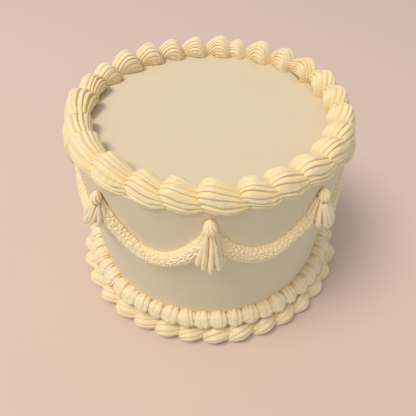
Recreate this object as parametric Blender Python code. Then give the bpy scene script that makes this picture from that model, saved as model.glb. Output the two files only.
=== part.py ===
# Lambeth cake: an iced round cake with piped shell borders, swags and tassels.
# Units are metres, +Z is up, and the origin is the centre of the cake's underside.
# An azimuth is in degrees, 0 at the front (-Y), growing towards +X.

import math
import random

import bmesh
import bpy

# Driving dimensions
WALL_RADIUS = 0.0800
CAKE_HEIGHT = 0.1175
EDGE_ROUND = 0.0028
GAP = 0.0003

# Border of large shells round the top edge, with each shell's pitch in degrees, as piped by
# hand from the back and round past the front
TOP_FIRST_AZIMUTH = -177.0
TOP_PITCHES = (13, 13, 14, 15, 13, 15, 18, 15, 17, 16, 12, 13, 14,
               11, 13, 14, 12.5, 12.5, 15, 14, 15, 14, 14, 14, 9, 14)
TOP_RING_RADIUS = 0.903 * WALL_RADIUS
TOP_SHELL = dict(head=0.0112, tail=0.0150, half_width=0.0079, height=0.0118, sink=0.0030,
                 taper=0.45, blunt=0.55, ridges=5, depth=0.16, turns=3, runs=2, yaw=14.0)
TOP_HEAD_SHARE = 0.67

# Large shells that lie round the foot of the wall
FOOT_SHELLS = 34
FOOT_FIRST_AZIMUTH = -2.0
FOOT_MIDDLE = WALL_RADIUS + 0.0034
FOOT_HALF_WIDTH = 0.0076
FOOT_HEIGHT = 0.0150
FOOT_RIDGES = 4
FOOT_CREASE = 0.14
FOOT_SPREAD = 0.45

# Small shells that lean on the wall and on the shells below them
LEAN_SHELLS = 52
LEAN_TOP = 0.0228
LEAN_BED = 0.0148
LEAN_REACH = 0.0064

# Tassels and the beads above them, uneven as hung by hand: each one's azimuth in degrees, the
# height of its top, its drop and how plump it is
TASSELS = ((0.0, 0.1065, 0.0235, 1.00), (41.0, 0.1035, 0.0150, 1.10),
           (87.0, 0.1045, 0.0190, 1.05), (133.0, 0.1055, 0.0215, 1.00),
           (179.0, 0.1060, 0.0225, 1.00), (225.0, 0.1050, 0.0200, 1.05),
           (271.0, 0.1045, 0.0185, 1.05), (317.0, 0.1030, 0.0150, 1.10))
TASSEL_TIP = 0.0020
TASSEL_HALF_TOP = 0.0048
TASSEL_HALF_BOTTOM = 0.0076
TASSEL_STANDS = 0.0090
TASSEL_STRANDS = 7
BEAD_LAP = 0.0010
BEAD_HEIGHT = 0.0098
BEAD_RADIUS = 0.0036
BEAD_OFF_WALL = 0.0040

# Swags that hang between the tassels
SWAG_LOWS = (0.0825, 0.0755, 0.0785, 0.0775, 0.0780, 0.0790, 0.0750, 0.0780)
SWAG_END_HEIGHT = 0.1005
SWAG_HALF_WIDTH = 0.0056
SWAG_STANDS = 0.0050
SWAG_CRIMPS = 7

# Icing colours, linear
ICING_SMOOTH = (0.760, 0.630, 0.420)
ICING_PIPED = (0.860, 0.760, 0.520)


def clear_scene():
    for thing in list(bpy.data.objects):
        bpy.data.objects.remove(thing, do_unlink=True)


def icing(name, colour, roughness):
    material = bpy.data.materials.new(name)
    material.use_nodes = True
    surface = material.node_tree.nodes["Principled BSDF"]
    surface.inputs["Base Color"].default_value = (*colour, 1.0)
    surface.inputs["Roughness"].default_value = roughness
    surface.inputs["Metallic"].default_value = 0.0
    return material


def add_object(name, mesh_data, material=None):
    thing = bpy.data.objects.new(name, mesh_data)
    bpy.context.scene.collection.objects.link(thing)
    if material is not None:
        mesh_data.materials.clear()
        mesh_data.materials.append(material)
    return thing


def solid_from_loops(name, loops):
    """Skins closed loops of points, one after another, and closes both ends with a fan."""
    builder = bmesh.new()
    rows = [[builder.verts.new(point) for point in loop] for loop in loops]
    count = len(rows[0])
    for near, far in zip(rows, rows[1:]):
        for k in range(count):
            after = (k + 1) % count
            builder.faces.new((near[k], near[after], far[after], far[k]))
    for row in (rows[0], rows[-1]):
        middle = [sum(vert.co[axis] for vert in row) / count for axis in range(3)]
        centre = builder.verts.new(middle)
        for k in range(count):
            builder.faces.new((row[k], row[(k + 1) % count], centre))
    bmesh.ops.triangulate(builder, faces=builder.faces)
    bmesh.ops.recalc_face_normals(builder, faces=builder.faces)
    mesh_data = bpy.data.meshes.new(name)
    builder.to_mesh(mesh_data)
    builder.free()
    return mesh_data


def turned_solid(name, profile, segments):
    """Spins a profile of (radius, height) points, from the axis out and back, about Z."""
    builder = bmesh.new()
    verts = [builder.verts.new((radius, 0.0, height)) for radius, height in profile]
    edges = [builder.edges.new(pair) for pair in zip(verts, verts[1:])]
    bmesh.ops.spin(builder, geom=verts + edges, cent=(0, 0, 0), axis=(0, 0, 1),
                   angle=2 * math.pi, steps=segments, use_merge=True)
    bmesh.ops.remove_doubles(builder, verts=builder.verts, dist=1e-6)
    bmesh.ops.recalc_face_normals(builder, faces=builder.faces)
    mesh_data = bpy.data.meshes.new(name)
    builder.to_mesh(mesh_data)
    builder.free()
    return mesh_data


def apply_boolean(thing, operation, operands):
    """One Boolean with a collection of operands, applied, and the operands removed."""
    group = bpy.data.collections.new("operands")
    bpy.context.scene.collection.children.link(group)
    for operand in operands:
        group.objects.link(operand)
    step = thing.modifiers.new("boolean", "BOOLEAN")
    step.operation = operation
    step.operand_type = "COLLECTION"
    step.collection = group
    step.solver = "EXACT"
    bpy.context.view_layer.update()
    graph = bpy.context.evaluated_depsgraph_get()
    result = bpy.data.meshes.new_from_object(thing.evaluated_get(graph))
    thing.modifiers.clear()
    thing.data = result
    for operand in operands:
        bpy.data.objects.remove(operand, do_unlink=True)
    bpy.data.collections.remove(group)


def keep_largest_body(thing):
    """Drops loose scraps that a cut leaves, and merges points closer than a hair."""
    builder = bmesh.new()
    builder.from_mesh(thing.data)
    bmesh.ops.remove_doubles(builder, verts=builder.verts, dist=2e-6)
    bmesh.ops.dissolve_limit(builder, angle_limit=math.radians(1.5), verts=builder.verts,
                             edges=builder.edges)
    bmesh.ops.triangulate(builder, faces=builder.faces)
    unseen = set(builder.verts)
    bodies = []
    while unseen:
        front = [unseen.pop()]
        body = list(front)
        while front:
            vert = front.pop()
            for edge in vert.link_edges:
                other = edge.other_vert(vert)
                if other in unseen:
                    unseen.remove(other)
                    front.append(other)
                    body.append(other)
        bodies.append(body)
    bodies.sort(key=len, reverse=True)
    for body in bodies[1:]:
        bmesh.ops.delete(builder, geom=body, context="VERTS")
    builder.to_mesh(thing.data)
    builder.free()


def on_ring(azimuth, radius, height):
    angle = math.radians(azimuth)
    return (radius * math.sin(angle), -radius * math.cos(angle), height)


def section(ridges, depth):
    """Angles and radius factors of a star-shaped section: crests between sharp creases."""
    points = []
    for k in range(2 * ridges + 1):
        angle = math.radians(-25.0 + 230.0 * k / (2 * ridges))
        points.append((angle, 1.0 if k % 2 else 1.0 - depth))
    points.append((math.radians(270.0), 0.9))
    return points


def shell_loops(shell, size=1.0):
    """A piped shell in its own axes: x from head to tail, y across, z up from its bed.

    The section turns about a hinge below the bed, so the head rises from the bed and
    rolls over, and then runs along x while it shrinks to the tail. The head is blunt: its
    flanks reach further forward than circles about the hinge would.
    """
    height = shell["height"] * size
    sink = shell["sink"]
    core = (height + sink) / 2
    reach = shell["head"] * size
    stations = []
    for k in range(shell["turns"] + 1):
        angle = math.pi / 2 * k / shell["turns"]
        swell = 0.74 + 0.26 * math.sin(angle)
        stations.append((-reach * math.cos(angle), 0.0, math.sin(angle), swell, 1.0))
    for k in range(1, shell["runs"] + 1):
        along = k / shell["runs"]
        shrink = 1.0 - shell["taper"] * along ** 1.3
        stations.append((0.0, shell["tail"] * size * along, 1.0, shrink, shrink))
    loops = []
    for forward, along, upward, wide, high in stations:
        loop = []
        for angle, factor in section(shell["ridges"], shell["depth"]):
            across = shell["half_width"] * size * wide * factor * math.cos(angle)
            out = core * high * (1.02 + 0.98 * factor * math.sin(angle))
            ahead = forward * (out / (height + sink)) ** shell["blunt"]
            loop.append((ahead + along, across, upward * out - sink))
        loops.append(loop)
    return loops


def turned(point, yaw):
    """Turns a point about z, in degrees, so that a shell's head points inwards."""
    x, y, z = point
    c, s = math.cos(math.radians(yaw)), math.sin(math.radians(yaw))
    return (c * x - s * y, s * x + c * y, z)


def place_on_top(azimuth, x, y, z):
    radius = TOP_RING_RADIUS + y
    return on_ring(azimuth + math.degrees(x / TOP_RING_RADIUS), radius, CAKE_HEIGHT + z)


def spread(azimuth, radius):
    """Both foot rows stand further off the wall at the sides than at front and back."""
    beyond = max(0.0, radius - WALL_RADIUS)
    return radius + beyond * FOOT_SPREAD * math.sin(math.radians(azimuth)) ** 2


def cake_profile(grow):
    radius = WALL_RADIUS + grow
    top = CAKE_HEIGHT + grow
    profile = [(0.0, -grow), (radius, -grow)]
    for k in range(3):
        angle = math.pi / 2 * k / 2
        profile.append((radius - EDGE_ROUND * (1 - math.cos(angle)),
                        top - EDGE_ROUND * (1 - math.sin(angle))))
    profile.append((0.0, top))
    return profile


def make_cake_body(material):
    mesh_data = turned_solid("cake_body", cake_profile(0.0), 72)
    mesh_data.shade_smooth()
    return add_object("cake_body", mesh_data, material)


def make_top_border(material):
    """Pipes the ring of shells, fuses them into one body and trims it to the cake."""
    draw = random.Random(11)
    usual = sum(TOP_PITCHES) / len(TOP_PITCHES)
    lead = TOP_HEAD_SHARE * TOP_SHELL["head"] / TOP_RING_RADIUS
    azimuth = TOP_FIRST_AZIMUTH + math.degrees(lead)
    pieces = []
    for pitch in TOP_PITCHES:
        size = draw.uniform(0.97, 1.03) * (pitch / usual) ** 0.4
        yaw = TOP_SHELL["yaw"] + draw.uniform(-4.0, 4.0)
        loops = [[place_on_top(azimuth, *turned(point, yaw)) for point in loop]
                 for loop in shell_loops(TOP_SHELL, size)]
        pieces.append(add_object("shell", solid_from_loops("shell", loops)))
        azimuth += pitch
    ring = pieces[0]
    apply_boolean(ring, "UNION", pieces[1:])
    cutter = add_object("cutter", turned_solid("cutter", cake_profile(GAP), 48))
    apply_boolean(ring, "DIFFERENCE", [cutter])
    keep_largest_body(ring)
    ring.name = "top_border"
    ring.data.materials.clear()
    ring.data.materials.append(material)
    return ring


def ring_from_sections(name, stations):
    """Skins a closed ring from (azimuth, loop of (radius, height)) stations in order."""
    builder = bmesh.new()
    rows = []
    for azimuth, loop in stations:
        rows.append([builder.verts.new(on_ring(azimuth, *point)) for point in loop])
    for near, far in zip(rows, rows[1:] + rows[:1]):
        for k in range(len(near)):
            after = (k + 1) % len(near)
            builder.faces.new((near[k], near[after], far[after], far[k]))
    bmesh.ops.triangulate(builder, faces=builder.faces)
    bmesh.ops.recalc_face_normals(builder, faces=builder.faces)
    mesh_data = bpy.data.meshes.new(name)
    builder.to_mesh(mesh_data)
    builder.free()
    return mesh_data


def make_foot_row(material):
    """Shells laid head over tail: each station's size steps up at a head, then sinks."""
    draw = random.Random(23)
    pitch = 360.0 / FOOT_SHELLS
    stations = []
    for number in range(FOOT_SHELLS):
        size = draw.uniform(0.94, 1.04)
        start = FOOT_FIRST_AZIMUTH + pitch * (number + draw.uniform(-0.08, 0.08))
        for along, high in ((0.0, 0.88), (0.22, 1.0), (0.62, 0.95), (0.97, 0.80)):
            azimuth = start + pitch * along
            loop = []
            for k in range(2 * FOOT_RIDGES + 1):
                angle = math.pi * k / (2 * FOOT_RIDGES)
                factor = size * high * (1.0 if k % 2 else 1.0 - FOOT_CREASE)
                side = FOOT_HALF_WIDTH * (0.35 + 0.65 * factor) * math.cos(angle)
                radius = max(WALL_RADIUS + GAP, spread(azimuth, FOOT_MIDDLE + side))
                loop.append((radius, FOOT_HEIGHT * factor * math.sin(angle)))
            stations.append((azimuth, loop))
    return add_object("foot_border", ring_from_sections("foot_border", stations), material)


def make_leaning_row(material):
    """A scalloped ring: two ribs to a shell, valleys between, its bed clear of the foot row."""
    draw = random.Random(37)
    pitch = 360.0 / LEAN_SHELLS
    bed = WALL_RADIUS + GAP
    stations = []
    for number in range(LEAN_SHELLS):
        size = draw.uniform(0.93, 1.05)
        start = pitch * (number + draw.uniform(-0.07, 0.07))
        for along, rib in ((0.0, 0.0), (0.30, 1.0), (0.50, 0.72), (0.70, 1.0)):
            azimuth = start + pitch * along
            out = rib * size
            profile = ((0.0, LEAN_TOP - 0.0022 * (1.0 - out)),
                       (LEAN_REACH * (0.12 + 0.42 * out), LEAN_TOP - 0.0044 + 0.0032 * out),
                       (LEAN_REACH * (0.40 + 0.45 * out), LEAN_BED + 0.0034 + 0.0008 * out),
                       (LEAN_REACH * (0.78 + 0.22 * out), LEAN_BED + 0.0008),
                       (LEAN_REACH * 0.70, LEAN_BED), (0.0, LEAN_BED))
            loop = [(spread(azimuth, bed + reach), height) for reach, height in profile]
            stations.append((azimuth, loop))
    return add_object("leaning_border", ring_from_sections("leaning_border", stations), material)


def tassel_loops(number, grow=0.0):
    """A skirt of strands on the wall: half round, wider and prouder towards its hem."""
    azimuth, top, drop, plump = TASSELS[number]
    bed = WALL_RADIUS + (GAP if grow == 0.0 else -GAP)
    strands = 2 * TASSEL_STRANDS
    loops = []
    for share, low in ((0.0, 0.0), (0.35, 0.0), (0.75, 0.0), (1.0, 1.0)):
        half = TASSEL_HALF_TOP + (TASSEL_HALF_BOTTOM - TASSEL_HALF_TOP) * share ** 0.8
        half = plump * half + grow
        stands = plump * TASSEL_STANDS * (0.55 + 0.45 * math.sin(math.pi * 0.75 * share)) + grow
        height = top + grow - (drop + 2 * grow) * share
        loop = []
        for k in range(strands + 1):
            angle = math.pi * k / strands
            crest = 1.0 if k % 2 or grow else 0.84
            hang = low * (TASSEL_TIP if k % 2 or grow else -0.4 * TASSEL_TIP)
            turn = math.degrees(half * crest * math.cos(angle) / WALL_RADIUS)
            out = stands * crest * math.sin(angle)
            loop.append(on_ring(azimuth + turn, bed + out, height - hang))
        loop.append(on_ring(azimuth, bed, height))
        loops.append(loop)
    return loops


def bead_loops(number, grow=0.0):
    """A ridged drop with its point up, pressed against the wall."""
    azimuth, top = TASSELS[number][:2]
    bottom = top - BEAD_LAP
    bed = WALL_RADIUS + GAP
    loops = []
    for share, fat in ((0.04, 0.50), (0.3, 1.0), (0.62, 0.80), (0.9, 0.24)):
        loop = []
        for k in range(10):
            angle = math.pi * k / 5
            crest = 1.0 if k % 2 or grow else 0.84
            reach = BEAD_RADIUS * fat * crest + grow
            radius = max(bed, bed + BEAD_OFF_WALL - 0.0006 + reach * math.sin(angle))
            turn = math.degrees(reach * math.cos(angle) / WALL_RADIUS)
            loop.append(on_ring(azimuth + turn, radius, bottom + BEAD_HEIGHT * share))
        loops.append(loop)
    return loops


def make_tassel(number, material):
    skirt = add_object(f"tassel_{number + 1}",
                       solid_from_loops("tassel", tassel_loops(number)), material)
    cutter = add_object("cutter", solid_from_loops("cutter", bead_loops(number, 2 * GAP)))
    apply_boolean(skirt, "DIFFERENCE", [cutter])
    keep_largest_body(skirt)
    return add_object(f"bead_{number + 1}", solid_from_loops("bead", bead_loops(number)),
                      material)


def make_swag(number, material):
    """A half-round crimped rope on the wall, hanging in a parabola between two tassels."""
    bed = WALL_RADIUS + GAP
    after = (number + 1) % len(TASSELS)
    half_span = (TASSELS[after][0] - TASSELS[number][0]) % 360.0 / 2
    azimuth = TASSELS[number][0] + half_span
    low = SWAG_LOWS[number]
    loops = []
    for k in range(2 * SWAG_CRIMPS + 1):
        across = k / SWAG_CRIMPS - 1.0
        rise = SWAG_END_HEIGHT - low
        slope = 2 * rise * across / (math.radians(half_span) * WALL_RADIUS)
        lean = math.atan(slope)
        height = low + rise * across ** 2
        crimp = 1.0 if k % 2 else 0.86
        loop = []
        for angle, back in ((0, 0), (55, 0), (115, 0), (180, 0), (180, 0.5)):
            bend = math.radians(angle)
            side = SWAG_HALF_WIDTH * crimp * math.cos(bend) * (1.0 - 2.0 * back)
            out = SWAG_STANDS * crimp * math.sin(bend)
            turn = math.degrees(-side * math.sin(lean) / WALL_RADIUS)
            loop.append(on_ring(azimuth + across * half_span + turn, bed + out,
                                height + side * math.cos(lean)))
        loops.append(loop)
    rope = add_object(f"swag_{number + 1}", solid_from_loops("swag", loops), material)
    ends = []
    for end in (number, after):
        for loops in (tassel_loops(end, 1.5 * GAP), bead_loops(end, GAP)):
            ends.append(add_object("cutter", solid_from_loops("cutter", loops)))
    apply_boolean(rope, "DIFFERENCE", ends)
    keep_largest_body(rope)
    return rope


def main():
    clear_scene()
    smooth = icing("smooth_icing", ICING_SMOOTH, 0.55)
    piped = icing("piped_icing", ICING_PIPED, 0.45)
    make_cake_body(smooth)
    make_top_border(piped)
    make_foot_row(piped)
    make_leaning_row(piped)
    for number in range(len(TASSELS)):
        make_tassel(number, piped)
        make_swag(number, piped)


main()
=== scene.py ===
# Looks of the lambeth cake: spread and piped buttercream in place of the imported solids, a pale
# floor and soft light.
# Metres, +Z up. An azimuth is in degrees, 0 at the front (-Y), growing towards +X.

import math

import bpy
import numpy as np
from mathutils import Matrix, Vector


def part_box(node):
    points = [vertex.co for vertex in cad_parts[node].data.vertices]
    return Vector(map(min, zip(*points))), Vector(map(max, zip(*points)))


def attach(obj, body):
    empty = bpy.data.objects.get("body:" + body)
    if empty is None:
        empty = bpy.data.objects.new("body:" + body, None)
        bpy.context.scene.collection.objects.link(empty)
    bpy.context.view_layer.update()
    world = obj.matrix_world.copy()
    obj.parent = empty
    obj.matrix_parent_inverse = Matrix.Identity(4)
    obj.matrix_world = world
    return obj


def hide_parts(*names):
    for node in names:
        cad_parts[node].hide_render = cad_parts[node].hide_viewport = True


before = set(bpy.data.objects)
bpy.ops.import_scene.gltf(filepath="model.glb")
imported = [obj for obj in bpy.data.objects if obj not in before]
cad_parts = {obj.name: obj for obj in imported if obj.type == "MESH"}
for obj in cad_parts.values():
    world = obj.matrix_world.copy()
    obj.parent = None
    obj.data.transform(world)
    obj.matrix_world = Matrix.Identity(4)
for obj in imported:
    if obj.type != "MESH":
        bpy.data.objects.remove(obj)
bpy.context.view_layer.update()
print("frame loaded")

# The wall's radius and the height of the flat top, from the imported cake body
wallLow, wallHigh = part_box("cake_body")
wallRadius = (wallHigh[0] - wallLow[0]) / 2
cakeHeight = wallHigh[2]
mm = 0.001


# Ring coordinates to x, y, z: x = r sin(az), y = -r cos(az). Azimuth in radians, arrays welcome.
def ringPoints(azimuth, radius, height):
    azimuth, radius, height = np.broadcast_arrays(azimuth, radius, height)
    return np.stack([radius * np.sin(azimuth), -radius * np.cos(azimuth), height], axis=-1)


# Soft unevenness round 0, mostly between -1 and 1: sine waves in random directions, added up
# and divided by the root of their number. Their lengths are one to two times the given size.
def ripples(points, size, draw, waves=9):
    total = np.zeros(points.shape[:-1])
    for _ in range(waves):
        heading = draw.normal(size=3)
        heading /= np.linalg.norm(heading)
        length = size * draw.uniform(1.0, 2.0)
        total += np.sin(points @ heading * (2 * np.pi / length) + draw.uniform(0, 2 * np.pi))
    return total / math.sqrt(waves)


# Skins tubes into one mesh. A tube is a grid of points, rows along it and columns round it:
# each row closes on itself, and each end row closes on the point in its middle. The
# triangles are turned over where the tube's volume comes out negative, so all face outwards.
def skinTubes(name, tubes):
    allPoints, allFaces, allGlow = [], [], []
    start = 0
    for points, paintedGlow in tubes:
        rows, columns = paintedGlow.shape
        ring = np.arange(rows * columns).reshape(rows, columns)
        after = np.roll(ring, -1, axis=1)
        a, b, c, d = ring[:-1], after[:-1], after[1:], ring[1:]
        quads = [np.stack([a, b, c], -1).reshape(-1, 3), np.stack([a, c, d], -1).reshape(-1, 3)]
        first, last = rows * columns, rows * columns + 1
        caps = [np.stack([after[0], ring[0], np.full(columns, first)], -1),
                np.stack([ring[-1], after[-1], np.full(columns, last)], -1)]
        faces = np.concatenate(quads + caps)
        poles = np.stack([points[0].mean(axis=0), points[-1].mean(axis=0)])
        flat = np.concatenate([points.reshape(-1, 3), poles])
        corners = flat[faces] - flat.mean(axis=0)
        volume = np.einsum("ij,ij->i", corners[:, 0], np.cross(corners[:, 1], corners[:, 2])).sum()
        if volume < 0:
            faces = faces[:, ::-1]
        allPoints.append(flat)
        allFaces.append(faces + start)
        allGlow.append(np.concatenate([paintedGlow.ravel(), [paintedGlow[0].mean(), paintedGlow[-1].mean()]]))
        start += len(flat)
    points = np.concatenate(allPoints)
    faces = np.concatenate(allFaces)
    mesh = bpy.data.meshes.new(name)
    mesh.vertices.add(len(points))
    mesh.vertices.foreach_set("co", points.astype(np.float32).ravel())
    mesh.loops.add(faces.size)
    mesh.loops.foreach_set("vertex_index", faces.astype(np.int32).ravel())
    mesh.polygons.add(len(faces))
    mesh.polygons.foreach_set("loop_start", np.arange(0, faces.size, 3, dtype=np.int32))
    mesh.polygons.foreach_set("use_smooth", np.ones(len(faces), dtype=bool))
    mesh.update(calc_edges=True)
    # The share of painted glow at each point, where the finishes paint light into the colour
    depth = mesh.attributes.new("paintedGlow", "FLOAT", "POINT")
    depth.data.foreach_set("value", np.concatenate(allGlow).astype(np.float32))
    return mesh


# Puts a mesh into the scene as a finished piece that rides on the cake.
def addPiece(name, mesh, finish, nodes):
    piece = bpy.data.objects.new(name, mesh)
    bpy.context.scene.collection.objects.link(piece)
    mesh.materials.append(finish)
    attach(piece, "root")
    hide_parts(*nodes)


# Node group: the mottling of buttercream, as two noise values between 0 and 1: broad patches
# for the colour and fine grain for the relief. Both scales are per metre.
def makeMottleGroup():
    group = bpy.data.node_groups.new("icingMottle", "ShaderNodeTree")
    socket = group.interface.new_socket
    socket("Patch Scale", in_out="INPUT", socket_type="NodeSocketFloat").default_value = 60.0
    socket("Grain Scale", in_out="INPUT", socket_type="NodeSocketFloat").default_value = 900.0
    socket("Patch", in_out="OUTPUT", socket_type="NodeSocketFloat")
    socket("Grain", in_out="OUTPUT", socket_type="NodeSocketFloat")
    nodes, link = group.nodes, group.links.new
    entry = nodes.new("NodeGroupInput")
    out = nodes.new("NodeGroupOutput")
    where = nodes.new("ShaderNodeTexCoord")
    for label, detail, roughness in (("Patch", 3.0, 0.5), ("Grain", 2.0, 0.6)):
        noise = nodes.new("ShaderNodeTexNoise")
        noise.inputs["Detail"].default_value = detail
        noise.inputs["Roughness"].default_value = roughness
        link(where.outputs["Object"], noise.inputs["Vector"])
        link(entry.outputs[label + " Scale"], noise.inputs["Scale"])
        link(noise.outputs["Fac"], out.inputs[label])
    return group


# The two finishes. Colours are linear: of crests, of the painted glow, which is painted light
# (the golden light scattered in the creases, and the warm light the piping throws onto the wall
# beside it), and of the mottled patches that show by patchShare. The noise scales are per metre,
# bump is the strength of the grain, scatter is how much light scatters inside, and radius is how
# far, in metres.
pipedLook = dict(crest=(0.925, 0.765, 0.520), paintedGlow=(0.985, 0.722, 0.320),
                 patch=(0.890, 0.735, 0.455), patchShare=0.35, patchScale=90.0, grainScale=1400.0,
                 roughness=0.42, bump=0.25, scatter=0.35, radius=0.0006)
smoothLook = dict(crest=(0.765, 0.640, 0.450), paintedGlow=(0.900, 0.745, 0.480),
                  patch=(0.740, 0.618, 0.432), patchShare=0.6, patchScale=28.0, grainScale=700.0,
                  roughness=0.55, bump=0.10, scatter=0.25, radius=0.0016)

# What both share: the noise values between which a patch sets in, the height of the grain in
# metres, the shine, and how far red, green and blue light scatter, as shares of the radius.
icing = dict(patchFrom=0.35, patchTo=0.70, grainHeight=0.0003, shine=0.45,
             scatterReach=(1.0, 0.90, 0.60))


# Buttercream: crest colour turning to the painted glow colour by the mesh attribute that holds
# where light is painted, mottled.
def makeIcing(name, look, mottle):
    material = bpy.data.materials.new(name)
    material.use_nodes = True
    nodes, link = material.node_tree.nodes, material.node_tree.links.new
    shader = nodes["Principled BSDF"]
    marks = nodes.new("ShaderNodeGroup")
    marks.node_tree = mottle
    marks.inputs["Patch Scale"].default_value = look["patchScale"]
    marks.inputs["Grain Scale"].default_value = look["grainScale"]
    depth = nodes.new("ShaderNodeAttribute")
    depth.attribute_name = "paintedGlow"
    spread = nodes.new("ShaderNodeMapRange")
    spread.inputs["From Min"].default_value = icing["patchFrom"]
    spread.inputs["From Max"].default_value = icing["patchTo"]
    spread.inputs["To Max"].default_value = look["patchShare"]
    link(marks.outputs["Patch"], spread.inputs["Value"])
    base = nodes.new("ShaderNodeMix")
    base.data_type = "RGBA"
    base.inputs["A"].default_value = (*look["crest"], 1.0)
    base.inputs["B"].default_value = (*look["patch"], 1.0)
    link(spread.outputs["Result"], base.inputs["Factor"])
    # Painted light: the colour turns towards the painted glow where the attribute is high
    glowMix = nodes.new("ShaderNodeMix")
    glowMix.data_type = "RGBA"
    glowMix.inputs["B"].default_value = (*look["paintedGlow"], 1.0)
    link(depth.outputs["Fac"], glowMix.inputs["Factor"])
    link(base.outputs["Result"], glowMix.inputs["A"])
    link(glowMix.outputs["Result"], shader.inputs["Base Color"])
    relief = nodes.new("ShaderNodeBump")
    relief.inputs["Strength"].default_value = look["bump"]
    relief.inputs["Distance"].default_value = icing["grainHeight"]
    link(marks.outputs["Grain"], relief.inputs["Height"])
    link(relief.outputs["Normal"], shader.inputs["Normal"])
    shader.inputs["Roughness"].default_value = look["roughness"]
    shader.inputs["Specular IOR Level"].default_value = icing["shine"]
    shader.inputs["Subsurface Weight"].default_value = look["scatter"]
    shader.inputs["Subsurface Radius"].default_value = icing["scatterReach"]
    shader.inputs["Subsurface Scale"].default_value = look["radius"]
    return material


mottleGroup = makeMottleGroup()
pipedIcing = makeIcing("pipedIcing", pipedLook, mottleGroup)
smoothIcing = makeIcing("smoothIcing", smoothLook, mottleGroup)
print("icing mixed")


# The cake under the piping: a profile turned round the axis. The wall and top are spread by
# hand with a scraper, so both swell and dip by up to 0.3 mm. Beside the piping the wall gets a
# painted glow, the warm light that the piping throws onto it, fading off over a few millimetres.
body = dict(edge=1.0 * mm, around=560, underRows=12, wallRows=104, edgeRows=8, topRows=40,
            wave=0.14 * mm, waveSize=30 * mm, glowReach=2.6 * mm, footTop=24.0 * mm,
            footReach=2.4 * mm, tasselHalf=5 * mm, tasselCrown=4 * mm, tasselGlow=0.35)


# How much painted glow a place on the wall has, the warm light that the piping throws onto it,
# falling exponentially with distance: 1 at the foot rows and at the upper edge of a swag, less
# beside a tassel. A swag's middle line is a parabola over its span, and its upper edge lies half
# a width above, across the slope.
def wallGlow(azimuth, height):
    turn = np.degrees(azimuth) % 360
    wallGlowShare = np.exp(-np.clip(height - body["footTop"], 0, None) / body["footReach"])
    for number, (start, top, drop, _, _) in enumerate(tassels):
        span = (tassels[(number + 1) % len(tassels)][0] - start) % 360
        across = 2 * ((turn - start) % 360) / span - 1
        rise = swag["end"] - swag["lows"][number]
        slope = np.arctan(2 * rise * across / (math.radians(span) / 2 * wallRadius))
        above = height - swag["lows"][number] - rise * across ** 2
        above = above * np.cos(slope) - swag["halfWidth"]
        glow = np.exp(-np.abs(above) / body["glowReach"])
        wallGlowShare = np.maximum(wallGlowShare, np.where(np.abs(across) <= 1, glow, 0))
        aside = np.radians((turn - start + 180) % 360 - 180) * wallRadius
        beside = np.clip(np.abs(aside) - body["tasselHalf"], 0, None)
        over = np.clip(height - top - body["tasselCrown"], 0, None)
        glow = body["tasselGlow"] * np.exp(-np.hypot(beside, over) / body["glowReach"])
        wallGlowShare = np.maximum(wallGlowShare, np.where(height > top - drop, glow, 0))
    return wallGlowShare


# The profile's rows run out under the cake, up the wall, round the top edge by a quarter
# circle, and in over the top. The swell moves the wall outwards and the top upwards.
def makeCakeBody():
    draw = np.random.default_rng(3)
    edge = body["edge"]
    bend = cakeHeight - edge
    turn = np.linspace(0, np.pi / 2, body["edgeRows"])
    radius = np.concatenate([np.linspace(0.02, 1, body["underRows"])[:-1] * wallRadius,
                             np.full(body["wallRows"] + 2, wallRadius),
                             wallRadius - edge + edge * np.cos(turn),
                             np.linspace(wallRadius - edge, 0.5 * mm, body["topRows"])[1:]])
    height = np.concatenate([np.zeros(body["underRows"] - 1),
                             np.linspace(0, bend - 0.8 * mm, body["wallRows"]),
                             bend - np.array([0.4, 0.1]) * mm,
                             bend + edge * np.sin(turn),
                             np.full(body["topRows"] - 1, cakeHeight)])
    azimuth = np.linspace(0, 2 * np.pi, body["around"], endpoint=False)
    points = ringPoints(azimuth[None, :], radius[:, None], height[:, None])
    swell = body["wave"] * ripples(points * (1, 1, 0.5), body["waveSize"], draw)
    onWall = (radius > wallRadius - 0.1 * mm) & (height > mm) & (height < bend)
    onTop = height >= cakeHeight - 0.01 * mm
    points[onWall, :, 0] += swell[onWall] * np.sin(azimuth)
    points[onWall, :, 1] -= swell[onWall] * np.cos(azimuth)
    points[onTop, :, 2] += swell[onTop]
    # Painted light: the wall beside the piping gets a painted warm glow
    wallGlowShare = np.zeros(points.shape[:2])
    wallGlowShare[onWall] = wallGlow(azimuth[None, :], height[onWall, None])
    mesh = skinTubes("cakeBody", [(points, wallGlowShare)])
    addPiece("cakeBody", mesh, smoothIcing, ["cake_body"])


# What all the piping shares. narrow: how fast strands get narrower as they turn to fins. lift,
# beat and leanSpread: how unlike the strands' heights, waverings and leans are. wander: how far
# a strand wavers, in radians. tailGlow: how much painted glow a tail gets, for the light that
# scatters in the valley where it runs under the next head, and from which share of the way.
# fullCrease: the depth from which a groove gets its full painted glow. ragged: the sizes of the
# unevenness that makes the edges ragged.
piping = dict(narrow=0.8, lift=(0.75, 1.25), beat=(0.6, 1.5), leanSpread=0.08, wander=0.035,
              tailGlow=(0.55, 0.6), fullCrease=0.14, ragged=(2.4 * mm, 1.0 * mm))

# What a shell has where its own dictionary doesn't say otherwise
plainShell = dict(cling=0.0, bow=1.3, boxy=0.0, belly=0.0, hang=0.0, nest=0.0, under=4)


# Uneven strand edges: shares of the section, from 0 to 1, where one strand ends and the next
# begins. A strand's width is 1 on average and falls as its fin share, from 0 to 1, grows.
def strandEdges(count, unevenness, fins, draw):
    widths = draw.uniform(1 - unevenness, 1 + unevenness, count) * np.exp(-piping["narrow"] * fins)
    return np.concatenate([[0.0], np.cumsum(widths) / widths.sum()])


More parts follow.
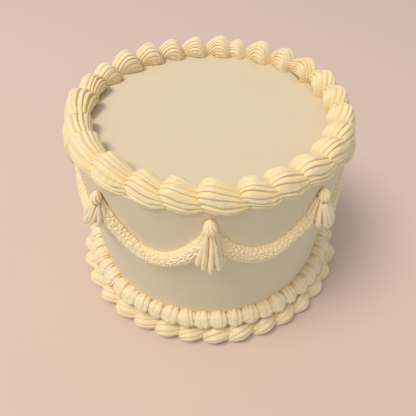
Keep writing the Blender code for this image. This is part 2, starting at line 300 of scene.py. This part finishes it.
# A star tip's section, as arrays along the columns: each column's angle, its strand's bulge
# (0 in a crease, 1 on a crest) and its strand's number. Over a strand's width t from -1 to 1
# the bulge is (1 - |t|^p)^q. From lobe to fin p goes from 2.1 to 1.7 and q from 0.75 to 0.95,
# so a lobe is flat and round and a fin sharper. The columns underneath have no strand.
def starSection(first, last, edges, perStrand, under, fins):
    share = 0.5 - 0.5 * np.cos(np.linspace(0, np.pi, perStrand, endpoint=False))
    angle = edges[:-1, None] + np.diff(edges)[:, None] * share
    flat = (2.1 - 0.4 * fins)[:, None]
    sharp = (0.75 + 0.20 * fins)[:, None]
    bulge = np.clip(1 - np.abs(2 * share - 1) ** flat, 0, 1) ** sharp
    strand = np.arange(len(fins))[:, None] + 0 * angle
    rest = np.linspace(last, first + 2 * np.pi, under, endpoint=False)
    angle = np.concatenate([first + (last - first) * angle.ravel(), rest])
    bulge = np.concatenate([bulge.ravel(), np.zeros(under)])
    strand = np.concatenate([strand.ravel(), np.full(under, len(fins))]).astype(int)
    return angle, bulge, strand


# One piped shell in its own axes: x from head to tail, y across, z up from its bed. The
# section turns a quarter turn about a hinge below the bed, so the strands rise from the bed
# and roll over the head, and then it runs along x and shrinks to the tail. At each row the
# section is an ellipse; a strand's bulge lifts it and leans it down over its neighbour. The
# head is blunt: a strand at a share q of the full height starts head * q^blunt in front, and
# it turns over the sharper the lower it is (cos and sin of the turn to the power 1 - boxy(1-q)).
# belly bows the shell sideways in the middle, and hang lets the +y flank droop off its bed.
# With cling above 0 the +y flank tapers less. nest above 0 makes the lower strands shorter and
# brings them back down to the bed, and bow is how late the tail comes down.
# finSide 1 puts deep narrow fins on the +y flank and smooth lobes on the other, -1 the other
# way round, and 0 makes all strands alike.
def shellGrid(shell, size, finSide, draw):
    height = shell["height"] * size
    core = (height + shell["sink"]) / 2
    turn = np.linspace(-0.1, np.pi / 2, shell["headRows"])
    run = np.linspace(0, 1, shell["tailRows"] + 1)[1:]
    turned = np.concatenate([turn, np.full(len(run), np.pi / 2)])[:, None]
    run = np.concatenate([np.zeros(len(turn)), run])
    shrink = (1 - shell["taper"] * run ** 1.3) * (1 - 0.5 * run ** 8)
    wide = shrink[:, None] * (shell["shoulder"] + (1 - shell["shoulder"]) * np.sin(turned))
    run = run[:, None]
    travel = np.linspace(0, 1, len(wide))[:, None]
    count = shell["strands"]
    place = np.linspace(1, -1, count) * finSide
    fins = np.clip(0.4 + 1.1 * place, 0, 1) if finSide else np.full(count, shell["finny"])
    edges = strandEdges(count, shell["uneven"], fins, draw)
    first, last = math.radians(90 - shell["wrap"]), math.radians(90 + shell["wrap"])
    angle, bulge, strand = starSection(first, last, edges, shell["perStrand"], shell["under"], fins)
    ridged = (strand < count).astype(float)
    pick = np.clip(strand, 0, count - 1)
    fin = fins[pick] * ridged
    lean = draw.normal(shell["lean"], piping["leanSpread"], count)[pick]
    lean = lean * ridged * -np.tanh(3 * np.cos(angle))
    lift = draw.uniform(*piping["lift"], count)[pick]
    sway = draw.uniform(0, 2 * np.pi, count)[pick]
    beat = draw.uniform(*piping["beat"], count)[pick]
    wander = piping["wander"] * np.sin(2 * np.pi * beat * travel + sway) * ridged
    twist = shell["twist"] * (travel - 0.35)
    stride = math.radians(2 * shell["wrap"]) / count
    bent = angle + lean * bulge * stride + (wander + twist) * np.clip(np.sin(angle) + 0.4, 0, 1)
    fade = np.interp(travel, [0, 0.12, 0.7, 1], [0.8, 1.0, 0.9, 0.6])
    depth = shell["lobeDepth"] + (shell["finDepth"] - shell["lobeDepth"]) * fin
    depth = depth * lift * fade * ridged
    factor = 1 - depth * (1 - bulge)
    outer = wide + shell["cling"] * (1 - shrink[:, None]) * (np.cos(bent) > 0)
    across = shell["halfWidth"] * size * outer * factor * np.cos(bent)
    share = 0.51 + 0.49 * factor * np.sin(bent)
    boxy = np.clip(1 - shell["boxy"] * (1 - share), 0.2, 1)
    low = shell["nest"] * np.clip(1 - share, 0, 1)
    forward = -shell["head"] * size * np.clip(np.cos(turned), 0, 1) ** boxy
    forward = forward * share ** shell["blunt"]
    forward = forward + shell["tail"] * size * run * (1 - 0.8 * low)
    fall = shell["fall"] + (0.95 - shell["fall"]) * np.sqrt(low)
    high = (1 - fall * run ** (shell["bow"] + 0.7 * low)) * (1 - 0.4 * run ** 8)
    upward = np.sign(turned) * np.abs(np.sin(turned)) ** boxy
    along = (forward + shell["head"]) / (shell["head"] + shell["tail"])
    span = np.sin(np.pi * np.clip(along, 0, 1))
    across = across + shell["belly"] * span
    over = np.clip(across / shell["halfWidth"] / 0.45 - 1.2, 0, 1) ** 2
    upward = 2 * core * upward * high * share - shell["sink"] - shell["hang"] * over * span ** 0.4
    points = np.stack([forward, across, upward], axis=-1)
    # Painted light: a golden glow painted into the creases between strands and into the tails
    paintedGlow = np.clip(1 - bulge, 0, 1) ** (0.95 - 0.2 * fin)
    paintedGlow = paintedGlow * np.clip(depth / piping["fullCrease"], 0, 1)
    tailGlow, tailGlowFrom = piping["tailGlow"]
    paintedGlow = np.clip(paintedGlow + tailGlow * np.clip((travel - tailGlowFrom) / (1 - tailGlowFrom), 0, 1), 0, 1)
    paintedGlow = paintedGlow * shell["glowStrength"]
    ragged = sum(0.5 * ripples(points, length, draw) for length in piping["ragged"])
    points = points + shell["rough"] * (ragged * (0.35 + 0.65 * bulge) * (0.5 + fin))[..., None]
    return points, paintedGlow


# Turns local points about z by an angle in degrees.
def turnAbout(points, yaw):
    c, s = math.cos(math.radians(yaw)), math.sin(math.radians(yaw))
    x, y, z = points[..., 0], points[..., 1], points[..., 2]
    return np.stack([c * x - s * y, s * x + c * y, z], axis=-1)


# Bends local points onto a ring: x runs along the ring, y outwards and z up.
def layOnRing(points, azimuth, radius, height):
    x, y, z = points[..., 0], points[..., 1], points[..., 2]
    return ringPoints(math.radians(azimuth) + x / radius, radius + y, height + z)


# The ring of large shells on the top edge, with the pitch of each in degrees. The side that
# the narrow strands are on changes twice round the ring, at the azimuths in finTurns. Shells on
# the left up to leftTo, and shells behind beyond backFrom, differ as left and back say.
topShell = dict(plainShell, head=9.2 * mm, tail=16.5 * mm, halfWidth=7.9 * mm, height=11.8 * mm,
                sink=1.2 * mm, taper=0.50, cling=0.45, fall=0.66, blunt=0.55, boxy=0.8,
                belly=1.6 * mm, hang=3.6 * mm, shoulder=0.76, glowStrength=1.0, strands=15,
                perStrand=9, wrap=140, uneven=0.30, lobeDepth=0.21, finDepth=0.33, lean=0.45,
                twist=0.10, rough=0.12 * mm, headRows=30, tailRows=26)
topRing = dict(first=-177.0, radius=0.903 * wallRadius, lead=5.4 * mm, arcs=4,
               sizes=(0.97, 1.03), growth=0.4, yaw=9.0, leftYaw=2.0, yawSpread=4,
               finTurns=(-48.0, 112.0), leftTo=-40.0, left=dict(blunt=0.75, fall=0.74),
               backFrom=118.0, back=dict(sink=6.0 * mm, fall=0.76, bow=1.7, strands=17,
                                         lobeDepth=0.09, finDepth=0.12, uneven=0.50, nest=1.3,
                                         glowStrength=0.45),
               pitches=(13, 13, 14, 15, 13, 15, 18, 15, 17, 16, 12, 13, 14,
                        11, 13, 14, 12.5, 12.5, 15, 14, 15, 14, 14, 14, 9, 14))


def makeTopBorder():
    draw = np.random.default_rng(11)
    pitches = topRing["pitches"]
    usual = sum(pitches) / len(pitches)
    edge = topRing["first"]
    shells = []
    for pitch in pitches:
        size = draw.uniform(*topRing["sizes"]) * (pitch / usual) ** topRing["growth"]
        leftSide = -topRing["backFrom"] < edge < topRing["leftTo"]
        yaw = topRing["leftYaw"] if leftSide else topRing["yaw"]
        yaw = yaw + draw.uniform(-topRing["yawSpread"], topRing["yawSpread"])
        outerFins = topRing["finTurns"][0] < edge < topRing["finTurns"][1]
        behind = abs(edge) > topRing["backFrom"]
        changes = topRing["back"] if behind else topRing["left"] if leftSide else {}
        shell = dict(topShell, **changes)
        points, paintedGlow = shellGrid(shell, size, 1 if outerFins else -1, draw)
        azimuth = edge + math.degrees(topRing["lead"] / topRing["radius"])
        points = layOnRing(turnAbout(points, yaw), azimuth, topRing["radius"], cakeHeight)
        shells.append((points, paintedGlow))
        edge += pitch
    share = math.ceil(len(shells) / topRing["arcs"])
    for arc in range(topRing["arcs"]):
        name = f"topBorder{arc + 1}"
        mesh = skinTubes(name, shells[arc * share:(arc + 1) * share])
        addPiece(name, mesh, pipedIcing, ["top_border"])


makeTopBorder()
print("top border piped")


# Both foot rows stand further off the wall at the sides than at front and back: a point's
# distance off the wall grows by share times the square of the sine of its azimuth.
def spreadOut(points, share=0.45):
    x, y, z = points[..., 0], points[..., 1], points[..., 2]
    radius = np.hypot(x, y)
    beyond = np.clip(radius - wallRadius, 0, None)
    grow = (radius + beyond * share * (x / radius) ** 2) / radius
    return np.stack([x * grow, y * grow, z], axis=-1)


# The ring of large shells that lie round the foot.
footShell = dict(plainShell, head=8.5 * mm, tail=15.5 * mm, halfWidth=8.9 * mm, height=14.4 * mm,
                 sink=1.0 * mm, taper=0.42, fall=0.34, blunt=0.5, belly=2.0 * mm, shoulder=0.60,
                 glowStrength=0.7, strands=9, perStrand=7, wrap=125, uneven=0.30, finny=0.3,
                 lobeDepth=0.17, finDepth=0.24, lean=0.35, twist=0.50, rough=0.08 * mm,
                 headRows=22, tailRows=20)
footRing = dict(count=34, first=-2.0, lead=3.0, radius=wallRadius + 2.6 * mm, lowest=0.05 * mm,
                sizes=(0.94, 1.04), jitter=0.08, yaw=-13.0, yawSpread=5)


def makeFootBorder():
    draw = np.random.default_rng(23)
    pitch = 360 / footRing["count"]
    shells = []
    for number in range(footRing["count"]):
        size = draw.uniform(*footRing["sizes"])
        step = number + draw.uniform(-footRing["jitter"], footRing["jitter"])
        azimuth = footRing["first"] + pitch * step + footRing["lead"]
        points, paintedGlow = shellGrid(footShell, size, 0.0, draw)
        yaw = footRing["yaw"] + draw.uniform(-footRing["yawSpread"], footRing["yawSpread"])
        points = layOnRing(turnAbout(points, yaw), azimuth, footRing["radius"], 0.0)
        points[..., 2] = np.clip(points[..., 2], footRing["lowest"], None)
        shells.append((spreadOut(points), paintedGlow))
    mesh = skinTubes("footBorder", shells)
    addPiece("footBorder", mesh, pipedIcing, ["foot_border"])


makeFootBorder()
print("foot border piped")


# The ring of small shells that lean on the wall, heads up and tails down and outwards.
# A head is drawn down by corners * (y / halfWidth)^2 and up by peaks on the crests, so the
# corners are round and the strands end in scallops. The tail is drawn the other way.
leanShell = dict(plainShell, head=3.6 * mm, tail=7.2 * mm, halfWidth=6.1 * mm, height=4.6 * mm,
                 sink=0.8 * mm, taper=0.10, fall=0.30, blunt=0.4, shoulder=0.85, glowStrength=0.28,
                 strands=7, perStrand=7, wrap=130, uneven=0.60, finny=0.5, lobeDepth=0.14,
                 finDepth=0.24, lean=0.15, twist=0.0, rough=0.25 * mm, headRows=16, tailRows=18)
leanRing = dict(count=52, slope=50.0, top=20.6 * mm, offWall=1.9 * mm, inWall=1.5 * mm,
                corners=(4.0 * mm, 2.6 * mm), peaks=(1.5 * mm, 1.1 * mm),
                sizes=(0.93, 1.05), jitter=0.07, yawSpread=12, slopeSpread=5)


def makeLeaningBorder():
    draw = np.random.default_rng(37)
    pitch = 360 / leanRing["count"]
    corners, peaks = leanRing["corners"], leanRing["peaks"]
    shells = []
    for number in range(leanRing["count"]):
        size = draw.uniform(*leanRing["sizes"])
        azimuth = pitch * (number + 0.5 + draw.uniform(-leanRing["jitter"], leanRing["jitter"]))
        points, paintedGlow = shellGrid(leanShell, size, 0.0, draw)
        x, y = points[..., 0], points[..., 1]
        headUp = np.interp(x, [-leanShell["head"], 0], [1, 0])
        tailDown = np.interp(x, [0.4 * leanShell["tail"], leanShell["tail"]], [0, 1])
        corner = (y / leanShell["halfWidth"]) ** 2
        crest = 1 - np.clip(paintedGlow / leanShell["glowStrength"], 0, 1)
        points[..., 0] += headUp * (corners[0] * corner - peaks[0] * crest)
        points[..., 0] -= tailDown * (corners[1] * corner - peaks[1] * crest)
        points = turnAbout(points, draw.uniform(-leanRing["yawSpread"], leanRing["yawSpread"]))
        tilt = draw.uniform(-leanRing["slopeSpread"], leanRing["slopeSpread"])
        slope = math.radians(leanRing["slope"] + tilt)
        x, y, z = points[..., 0], points[..., 1], points[..., 2]
        outward = leanRing["offWall"] + x * math.cos(slope) + z * math.sin(slope)
        height = leanRing["top"] - x * math.sin(slope) + z * math.cos(slope)
        radius = np.maximum(wallRadius + outward, wallRadius - leanRing["inWall"])
        points = ringPoints(math.radians(azimuth) + y / wallRadius, radius, height)
        shells.append((spreadOut(points), paintedGlow))
    mesh = skinTubes("leaningBorder", shells)
    addPiece("leaningBorder", mesh, pipedIcing, ["leaning_border"])


makeLeaningBorder()
print("leaning border piped")


# The tassels, uneven as hung by hand: each one's azimuth in degrees, the height of its top,
# its drop, how plump it is and how far its hem swings sideways. The first is all free
# strands, and the others are loose, with nested loops among their strands.
tassels = ((0, 108.6 * mm, 26.5 * mm, 1.00, 0.0),
           (41.5, 107.8 * mm, 19.0 * mm, 1.00, 4.0 * mm),
           (87, 108.6 * mm, 25.0 * mm, 1.10, 1.0 * mm),
           (133, 109.2 * mm, 26.5 * mm, 1.05, -1.0 * mm),
           (179, 109.6 * mm, 27.5 * mm, 1.05, 0.5 * mm),
           (225, 108.8 * mm, 25.5 * mm, 1.10, -0.5 * mm),
           (271, 108.4 * mm, 24.0 * mm, 1.10, 1.0 * mm),
           (318, 106.6 * mm, 18.5 * mm, 1.00, -7.0 * mm))
skirt = dict(halfTop=1.8 * mm, halfBottom=6.8 * mm, stands=8.6 * mm, rows=40, columns=14,
             fans=(12, 38, 64, 90, 116, 142, 168), looseFans=(4, 22, 42, 90, 138, 158, 176),
             fanSpread=4, thick=1.42 * mm, fin=1.5, laid=0.93, tip=0.30, looseTip=0.50,
             loops=(2.0 * mm, 4.7 * mm), loopHems=(0.80, 0.97), loopTop=0.03,
             loopThick=1.35 * mm, loopFin=1.2, loopSpread=(0.9, 1.1), loopSway=0.3 * mm,
             loopOff=1.0 * mm, coreEnd=0.90, coreWide=0.92, coreStands=0.90, coreColumns=28,
             coreGlow=0.85, lengths=(0.90, 0.98), middleMore=0.04, thinAt=(0, 0.15, 0.7),
             thins=(0.35, 0.60, 1.0, 0.95), tipFrom=0.92, thickSpread=(0.85, 1.15),
             sway=0.35 * mm, off=0.6 * mm, rough=0.10 * mm, roughSize=3 * mm, inWall=0.3 * mm)


# Half width and stand of the skirt at a share of its drop. The half width grows evenly to the
# hem, but in a loose tassel by the sine of 0.62 pi times the share, which is wide higher up.
# The stand grows by the same sine, from 0.40 of the whole at the top.
def skirtShape(share, loose):
    grown = np.sin(0.62 * np.pi * share) if loose else share
    half = skirt["halfTop"] + (skirt["halfBottom"] - skirt["halfTop"]) * grown
    stands = skirt["stands"] * (0.40 + 0.60 * np.sin(np.pi * 0.62 * share))
    return half, stands


# A loop that hangs from under the bead: down one side, round at its hem and up the other. As
# it turns from 0 to 180 degrees it goes down by the sine to the power 0.6 and sideways by the
# cosine, and it lies on the skirt's rounded front.
def hangingLoop(reach, hem, draw):
    turn = np.linspace(0.02, np.pi - 0.02, 2 * skirt["rows"])
    share = skirt["loopTop"] + (hem - skirt["loopTop"]) * np.sin(turn) ** 0.6
    half, stands = skirtShape(share, True)
    sway = skirt["loopSway"] * np.sin(3 * turn + draw.uniform(0, 6))
    side = -reach * np.cos(turn) * (0.3 + 0.7 * share) + sway
    front = np.sqrt(1 - np.clip(side / half, -0.95, 0.95) ** 2)
    out = skirt["laid"] * stands * front + skirt["loopOff"]
    thick = skirt["loopThick"] * (0.5 + 0.6 * share) * draw.uniform(*skirt["loopSpread"])
    return side[:, None], out[:, None], share[:, None], thick[:, None]


# A core on the wall, and over it strands that fan out to free tips, and loops. A strand is a
# tube that is deeper than it is wide, with a painted glow on its inner side where it meets the
# core, and the core under the strands is painted with most of that glow all over.
def makeTassel(number, draw):
    azimuth, top, drop, plump, swing = tassels[number]
    middle = math.radians(azimuth)
    loose = number > 0

    def place(side, out, share):
        side = side * plump + swing * share ** 1.5
        radius = wallRadius + np.maximum(out * plump, -skirt["inWall"])
        return ringPoints(middle + side / wallRadius, radius, top - drop * share)

    share = np.linspace(0, skirt["coreEnd"], skirt["rows"])[:, None]
    half, stands = skirtShape(share, loose)
    angle = np.linspace(0, 2 * np.pi, skirt["coreColumns"], endpoint=False)[None, :]
    front = skirt["coreStands"] * stands * np.sin(angle)
    reach = np.where(np.sin(angle) > 0, front, 0.1 * mm * np.sin(angle))
    core = place(skirt["coreWide"] * half * np.cos(angle), reach, share + 0 * angle)
    tubes = [(core, np.full(core.shape[:2], skirt["coreGlow"]))]
    turn = np.linspace(0, 2 * np.pi, skirt["columns"], endpoint=False)[None, :]
    paintedGlow = np.clip(0.5 - 0.9 * np.cos(turn), 0, 1)
    tip = skirt["looseTip"] if loose else skirt["tip"]
    fans = np.array(skirt["looseFans"] if loose else skirt["fans"])
    spread = draw.uniform(-skirt["fanSpread"], skirt["fanSpread"], len(fans))
    for fan in np.radians(fans + spread):
        inMiddle = abs(fan - np.pi / 2) < 0.2
        length = draw.uniform(*skirt["lengths"]) + (skirt["middleMore"] if inMiddle else 0)
        share = np.linspace(0, length, skirt["rows"])[:, None]
        half, stands = skirtShape(share, loose)
        thin = np.interp(share, [*skirt["thinAt"], skirt["tipFrom"] * length, length],
                         [*skirt["thins"], tip])
        thick = skirt["thick"] * thin * draw.uniform(*skirt["thickSpread"])
        bow = 2 * np.pi * share * draw.uniform(0.5, 1.1) + draw.uniform(0, 6.28)
        finOut = skirt["fin"] * thick * np.cos(turn)
        finSide = thick * np.sin(turn)
        side = half * np.cos(fan) + skirt["sway"] * np.sin(bow)
        side = side + finOut * np.cos(fan) + finSide * np.sin(fan)
        out = skirt["laid"] * stands * np.sin(fan) + skirt["off"]
        out = out + finOut * np.sin(fan) - finSide * np.cos(fan)
        points = place(side, out, share + 0 * turn)
        points += skirt["rough"] * ripples(points, skirt["roughSize"], draw)[..., None]
        tubes.append((points, paintedGlow + 0 * share))
    for reach, hem in zip(skirt["loops"], skirt["loopHems"]) if loose else ():
        side, out, share, thick = hangingLoop(reach, hem, draw)
        along = np.stack([np.gradient(side[:, 0]), np.gradient(-share[:, 0]) * drop], axis=-1)
        along /= np.linalg.norm(along, axis=1)[:, None]
        finOut = skirt["loopFin"] * thick * np.cos(turn)
        finSide = thick * np.sin(turn)
        points = place(side - finSide * along[:, 1:], out + finOut,
                       share - finSide * along[:, :1] / drop)
        tubes.append((points, paintedGlow + 0 * share))
    mesh = skinTubes(f"tassel{number + 1}", tubes)
    addPiece(f"tassel{number + 1}", mesh, pipedIcing, [f"tassel_{number + 1}"])


# The bead above a tassel: a drop from a star tip, its ridges turning as they rise to a peak.
# Its radius follows fats over its height, and its middle bends towards the wall at the peak.
bead = dict(lap=1.4 * mm, height=7.6 * mm, radius=3.4 * mm, smaller=0.92, offWall=3.4 * mm,
            ridges=8, depth=0.24, fin=0.6, uneven=0.25, twist=0.9, rows=36, perStrand=8,
            heights=(0, 0.08, 0.2, 0.4, 0.6, 0.78, 0.9, 1.0),
            fats=(0.35, 0.72, 0.94, 1.0, 0.90, 0.64, 0.34, 0.06), sway=0.5 * mm, glowStrength=0.7,
            inWall=0.2 * mm)


def makeBead(number, draw):
    azimuth, top = tassels[number][:2]
    size = 1 if number == 0 else bead["smaller"]
    share = np.linspace(0, 1, bead["rows"])[:, None]
    fat = np.interp(share, bead["heights"], bead["fats"])
    fins = np.full(bead["ridges"], bead["fin"])
    edges = strandEdges(bead["ridges"], bead["uneven"], fins, draw)
    angle, bulge, _ = starSection(0.0, 2 * np.pi, edges, bead["perStrand"], 0, fins)
    reach = bead["radius"] * size * fat * (1 - bead["depth"] * (1 - bulge))
    turned = angle + bead["twist"] * share + draw.uniform(0, 6)
    side = reach * np.cos(turned) + bead["sway"] * draw.uniform(-1, 1) * share
    out = bead["offWall"] * (1 - 0.5 * share ** 2) + reach * np.sin(turned)
    height = top + (bead["height"] * share - bead["lap"]) * size + 0 * angle
    points = ringPoints(math.radians(azimuth) + side / wallRadius,
                        wallRadius + np.maximum(out, -bead["inWall"]), height)
    # Painted light: the bead's grooves get a painted golden glow
    paintedGlow = bead["glowStrength"] * np.clip(1 - bulge, 0, 1) ** 1.4 + 0 * share
    mesh = skinTubes(f"bead{number + 1}", [(points, paintedGlow)])
    addPiece(f"bead{number + 1}", mesh, pipedIcing, [f"bead_{number + 1}"])


# A swag: a half-round rope on the wall along a parabola, crimped by the tip's zigzag. Its
# upper half is small bumps, each the nearest of a scatter of points, as in a cell pattern,
# and its lower half is stacked wavy ridges that fray at the hem.
swag = dict(lows=(82.5 * mm, 75.5 * mm, 78.5 * mm, 77.5 * mm, 78.0 * mm, 79.0 * mm, 75.0 * mm,
                  78.0 * mm),
            end=100.5 * mm, halfWidth=5.0 * mm, stands=4.8 * mm, rows=400, columns=72,
            backColumns=6, turnsAt=1.15, turnsOver=0.08, bump=2.9 * mm, ridge=1.65 * mm,
            wave=4.6 * mm, stirSize=4 * mm, grainSize=1.3 * mm, swellSize=18 * mm, swell=0.06,
            wobbleSize=2.6 * mm, relief=(0.85 * mm, 1.30 * mm), fray=0.75 * mm, glowStrength=0.6,
            inWall=0.3 * mm)


# Bumps round scattered points: one point in each square of a grid, moved by chance, and the
# value falls from 1 at a point to 0 where two points are equally near.
def bumps(path, girth, size, draw):
    wide, tall = int(path.max() / size) + 4, int(girth.max() / size) + 4
    jitter = draw.uniform(-0.38, 0.38, (2, wide, tall))
    u, v = path / size + 1, girth / size + 1
    column, row = np.floor(u).astype(int), np.floor(v).astype(int)
    near = np.full(u.shape, 9.0)
    second = np.full(u.shape, 9.0)
    for i in (-1, 0, 1):
        for j in (-1, 0, 1):
            c, r = np.clip(column + i, 0, wide - 1), np.clip(row + j, 0, tall - 1)
            away = np.hypot(u - c - 0.5 - jitter[0, c, r], v - r - 0.5 - jitter[1, c, r])
            second = np.minimum(second, np.maximum(near, away))
            near = np.minimum(near, away)
    return np.clip((second - near) * 1.5, 0, 1)


# The rope's section is half an ellipse, angle 0 at its upper edge and 180 degrees at its lower
# one, less the relief wherever the bulge of the bumps or ridges is below 1.
def makeSwag(number, draw):
    after = (number + 1) % len(tassels)
    halfSpan = math.radians((tassels[after][0] - tassels[number][0]) % 360) / 2
    middle = math.radians(tassels[number][0]) + halfSpan
    across = np.linspace(-1, 1, swag["rows"])[:, None]
    rise = swag["end"] - swag["lows"][number]
    slope = np.arctan(2 * rise * across / (halfSpan * wallRadius))
    step = 2 * halfSpan * wallRadius / (swag["rows"] - 1) / np.cos(slope)
    path = np.cumsum(step, axis=0)
    angle = np.linspace(0, np.pi, swag["columns"])[None, :]
    girth = swag["halfWidth"] * angle + 0 * path
    path = path + 0 * angle
    field = np.stack([path, girth, 0 * girth], axis=-1)
    stir = ripples(field, swag["stirSize"], draw)
    grain = ripples(field, swag["grainSize"], draw)
    lumps = bumps(path + 0.5 * mm * stir, girth, swag["bump"], draw) ** 0.6
    wave = np.sin(2 * np.pi * path / swag["wave"] + 2.0 * stir)
    wave = wave + 0.5 * ripples(field, swag["wobbleSize"], draw)
    stack = np.abs(np.sin(np.pi * girth / swag["ridge"] + 0.8 * wave)) ** 0.6
    lower = 1 / (1 + np.exp(-(angle - swag["turnsAt"] + 0.12 * stir) / swag["turnsOver"]))
    bulge = np.clip((1 - lower) * lumps + lower * stack + 0.10 * grain, 0, 1.1)
    size = 1 + swag["swell"] * ripples(field, swag["swellSize"], draw)
    fray = swag["fray"] * (0.5 * wave + grain) * np.exp(-((angle - np.pi * 0.93) / 0.3) ** 2)
    relief = (swag["relief"][0] * (1 - lower) + swag["relief"][1] * lower) * (1 - bulge)
    width = (swag["halfWidth"] - 0.7 * relief) * size
    side = width * np.cos(angle) - fray
    fullness = np.where(angle < np.pi / 2, 1.1, 0.75)
    out = (swag["stands"] * size - relief) * np.sin(angle) ** fullness
    back = np.linspace(-1, 1, swag["backColumns"])[None, 1:-1] * 0.9 * swag["halfWidth"]
    back = back + 0 * path[:, :1]
    side = np.concatenate([side, back], axis=1)
    out = np.concatenate([out, -swag["inWall"] + 0 * back], axis=1)
    # Painted light: the hollows between bumps and ridges get a painted golden glow; the back,
    # against the wall, a fixed half share
    paintedGlow = swag["glowStrength"] * np.clip(1 - bulge, 0, 1) ** 1.2
    paintedGlow = np.concatenate([paintedGlow, 0.5 + 0 * back], axis=1)
    place = middle + across * halfSpan - side * np.sin(slope) / wallRadius
    height = swag["lows"][number] + rise * across ** 2 + side * np.cos(slope)
    mesh = skinTubes(f"swag{number + 1}", [(ringPoints(place, wallRadius + out, height), paintedGlow)])
    addPiece(f"swag{number + 1}", mesh, pipedIcing, [f"swag_{number + 1}"])


for number in range(len(tassels)):
    makeTassel(number, np.random.default_rng(100 + number))
    makeBead(number, np.random.default_rng(200 + number))
    makeSwag(number, np.random.default_rng(300 + number))
print("tassels, beads and swags hung")
makeCakeBody()
print("cake body turned")


# The pale floor that the cake stands on. The light it throws back is more neutral than it is.
floorLook = dict(size=6.0, colour=(0.730, 0.560, 0.482), bounce=(0.670, 0.635, 0.600),
                 roughness=0.9, shine=0.1)


def makeFloor():
    half = floorLook["size"] / 2
    mesh = bpy.data.meshes.new("floor")
    corners = [(-half, -half, 0), (half, -half, 0), (half, half, 0), (-half, half, 0)]
    mesh.from_pydata(corners, [], [(0, 1, 2, 3)])
    floor = bpy.data.objects.new("floor", mesh)
    bpy.context.scene.collection.objects.link(floor)
    paint = bpy.data.materials.new("floorPaint")
    paint.use_nodes = True
    shader = paint.node_tree.nodes["Principled BSDF"]
    path = paint.node_tree.nodes.new("ShaderNodeLightPath")
    tint = paint.node_tree.nodes.new("ShaderNodeMix")
    tint.data_type = "RGBA"
    tint.inputs["A"].default_value = (*floorLook["bounce"], 1.0)
    tint.inputs["B"].default_value = (*floorLook["colour"], 1.0)
    paint.node_tree.links.new(path.outputs["Is Camera Ray"], tint.inputs["Factor"])
    paint.node_tree.links.new(tint.outputs["Result"], shader.inputs["Base Color"])
    shader.inputs["Roughness"].default_value = floorLook["roughness"]
    shader.inputs["Specular IOR Level"].default_value = floorLook["shine"]
    mesh.materials.append(paint)


# Soft studio light: a pale room all round, and one large soft light from the left.
lights = dict(room=(0.97, 0.98, 1.0), roomPower=0.52,
              key=dict(place=(-1.14, -0.46, 2.42), aim=(0, 0, 0.05), size=1.2, power=43.0,
                       colour=(1.0, 0.95, 0.87)))


def makeLights():
    world = bpy.data.worlds.new("room")
    world.use_nodes = True
    air = world.node_tree.nodes["Background"]
    air.inputs["Color"].default_value = (*lights["room"], 1.0)
    air.inputs["Strength"].default_value = lights["roomPower"]
    bpy.context.scene.world = world
    key = lights["key"]
    lamp = bpy.data.lights.new("key", "AREA")
    lamp.shape = "DISK"
    lamp.size = key["size"]
    lamp.energy = key["power"]
    lamp.color = key["colour"]
    holder = bpy.data.objects.new("key", lamp)
    holder.location = key["place"]
    aim = Vector(key["aim"]) - Vector(key["place"])
    holder.rotation_euler = aim.to_track_quat("-Z", "Y").to_euler()
    bpy.context.scene.collection.objects.link(holder)


# The camera stands in front and looks down at the cake, where the photo was taken from.
view = dict(place=(-1.03 * mm, -181.4 * mm, 232.7 * mm), aim=(-1.03 * mm, 2.72 * mm, 29.04 * mm),
            lens=30.78, sensor=36.0, nearest=0.01, roll=-0.0046)


def makeCamera():
    shape = bpy.data.cameras.new("camera")
    shape.lens = view["lens"]
    shape.sensor_width = view["sensor"]
    shape.sensor_fit = "HORIZONTAL"
    shape.clip_start = view["nearest"]
    camera = bpy.data.objects.new("camera", shape)
    bpy.context.scene.collection.objects.link(camera)
    ahead = Vector(view["aim"]) - Vector(view["place"])
    turn = ahead.to_track_quat("-Z", "Y").to_matrix() @ Matrix.Rotation(view["roll"], 3, "Z")
    camera.matrix_world = Matrix.Translation(view["place"]) @ turn.to_4x4()
    bpy.context.scene.camera = camera


makeFloor()
makeLights()
makeCamera()
bpy.context.scene.view_settings.view_transform = "Standard"
print("floor, light and camera set")
